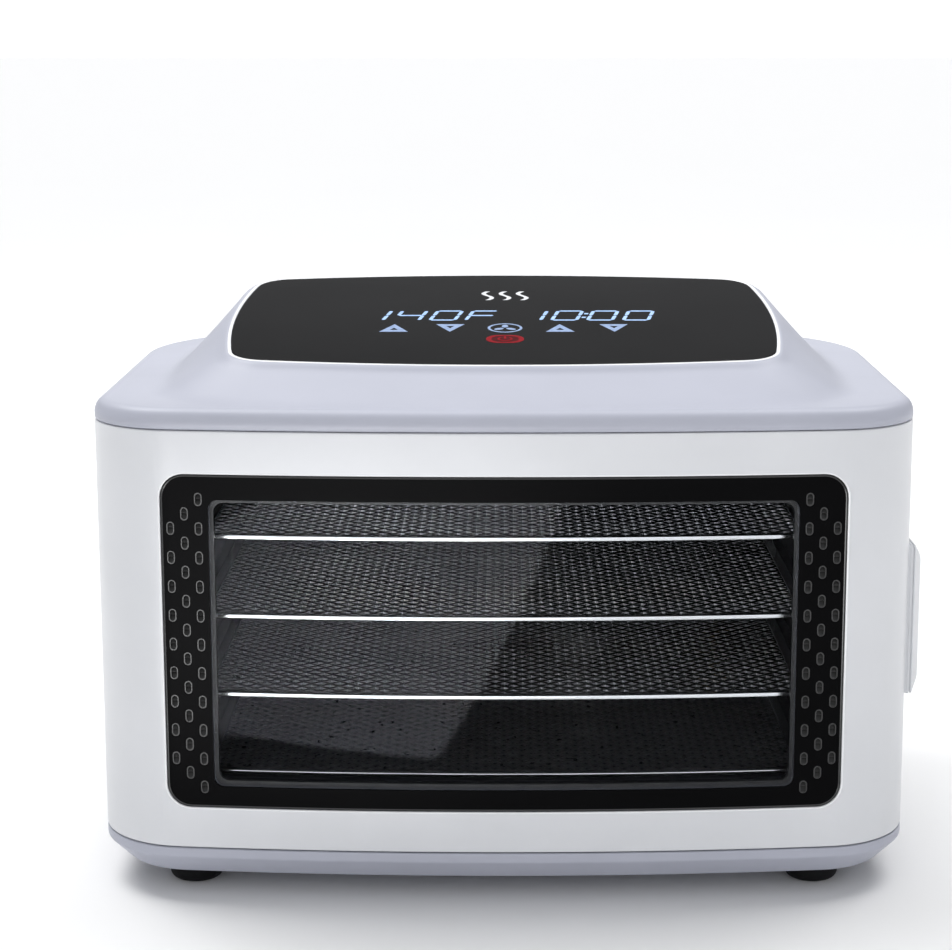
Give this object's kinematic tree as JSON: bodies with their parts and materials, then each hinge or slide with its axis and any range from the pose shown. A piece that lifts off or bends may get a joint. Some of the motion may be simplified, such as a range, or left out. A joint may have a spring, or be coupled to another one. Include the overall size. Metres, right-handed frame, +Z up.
{
  "type": "food dehydrator",
  "caption": "Countertop food dehydrator: bowed body, raised touch panel, side-hinged vented door with a window, and mesh trays that slide on rails in front of a rear fan.",
  "frame": {"origin": "centre of the footprint on the surface that the feet stand on", "axes": "+X to the right as seen from the front, -Y towards the front door, +Z up"},
  "size_m": [0.3062, 0.233, 0.2131],
  "materials": {
    "white_shell": "smooth satin white injection-moulded plastic",
    "lavender_trim": "satin lavender-grey moulded plastic",
    "black_frame": "black moulded plastic",
    "panel_glass": "glossy black touch panel",
    "clear_pane": "clear flat pane",
    "dark_liner": "dark coated sheet",
    "baffle_sheet": "grey coated sheet",
    "tray_steel": "bright stainless steel",
    "foot_rubber": "black rubber",
    "seal_rubber": "translucent grey silicone",
    "zinc_steel": "zinc-plated steel",
    "motor_body": "cast motor housing",
    "fan_blades": "stamped aluminium",
    "mica_board": "mica sheet",
    "heater_sheath": "oxidised heater tube",
    "grille_plastic": "dark grey moulded plastic",
    "brass_pins": "plated brass",
    "circuit_board": "green circuit board",
    "component_case": "moulded component cases"
  },
  "bodies": {
    "cabinet": {"base_tray": "lavender_trim", "body_shell": "white_shell", "front_bulkhead": "dark_liner", "top_lid": "lavender_trim", "control_glass": "panel_glass", "control_board": "circuit_board", "display_module": "component_case", "touch_springs": "zinc_steel", "chamber_liner": "dark_liner", "tray_rack_left": "dark_liner", "tray_rack_right": "dark_liner", "air_baffle": "baffle_sheet", "fan_duct": "baffle_sheet", "heater_board": "mica_board", "heater_element": "heater_sheath", "thermal_cutout": "component_case", "temperature_sensor": "brass_pins", "fan_spider": "black_frame", "fan_motor": "motor_body", "rear_grille": "grille_plastic", "power_inlet": "grille_plastic", "inlet_pins": "brass_pins", "power_board": "circuit_board", "board_standoffs": "grille_plastic", "board_screws": "zinc_steel", "power_relay": "component_case", "power_transformer": "component_case", "control_triac": "component_case", "filter_capacitors": "component_case", "foot_front_left": "foot_rubber", "foot_front_right": "foot_rubber", "foot_rear_left": "foot_rubber", "foot_rear_right": "foot_rubber", "foot_screws": "zinc_steel", "hinge_body_leaf_lower": "zinc_steel", "hinge_body_leaf_upper": "zinc_steel", "hinge_pin_lower": "zinc_steel", "hinge_pin_upper": "zinc_steel", "strike_plate": "zinc_steel"},
    "door": {"door_shell": "white_shell", "door_frame": "black_frame", "door_window": "clear_pane", "window_gasket": "seal_rubber", "door_liner": "black_frame", "door_screws": "zinc_steel", "door_grip": "white_shell", "door_magnet": "zinc_steel", "hinge_door_leaf_lower": "zinc_steel", "hinge_door_leaf_upper": "zinc_steel"},
    "fan": {"fan_shaft": "zinc_steel", "fan_impeller": "fan_blades"},
    "tray_1": {"tray_1_rim": "tray_steel", "tray_1_mesh": "tray_steel"},
    "tray_2": {"tray_2_rim": "tray_steel", "tray_2_mesh": "tray_steel"},
    "tray_3": {"tray_3_rim": "tray_steel", "tray_3_mesh": "tray_steel"},
    "tray_4": {"tray_4_rim": "tray_steel", "tray_4_mesh": "tray_steel"}
  },
  "joints": [
    {"name": "door_hinge", "type": "hinge", "parent": "cabinet", "child": "door", "pos_m": [-0.149, -0.071, 0.098], "axis": [0, 0, -1], "range_deg": [0, 110]},
    {"name": "fan_spin", "type": "hinge", "parent": "cabinet", "child": "fan", "pos_m": [0, 0.085, 0.098], "axis": [0, 1, 0], "continuous": true},
    {"name": "tray_1_slide", "type": "slide", "parent": "cabinet", "child": "tray_1", "axis": [0, -1, 0], "range_m": [0, 0.19]},
    {"name": "tray_2_slide", "type": "slide", "parent": "cabinet", "child": "tray_2", "axis": [0, -1, 0], "range_m": [0, 0.19]},
    {"name": "tray_3_slide", "type": "slide", "parent": "cabinet", "child": "tray_3", "axis": [0, -1, 0], "range_m": [0, 0.19]},
    {"name": "tray_4_slide", "type": "slide", "parent": "cabinet", "child": "tray_4", "axis": [0, -1, 0], "range_m": [0, 0.19]}
  ],
  "couplings": [
    {"joint": "tray_1_slide", "follows": "door_hinge", "m_per_rad": 0.048},
    {"joint": "tray_2_slide", "follows": "door_hinge", "m_per_rad": 0.048},
    {"joint": "tray_3_slide", "follows": "door_hinge", "m_per_rad": 0.048},
    {"joint": "tray_4_slide", "follows": "door_hinge", "m_per_rad": 0.048}
  ]
}
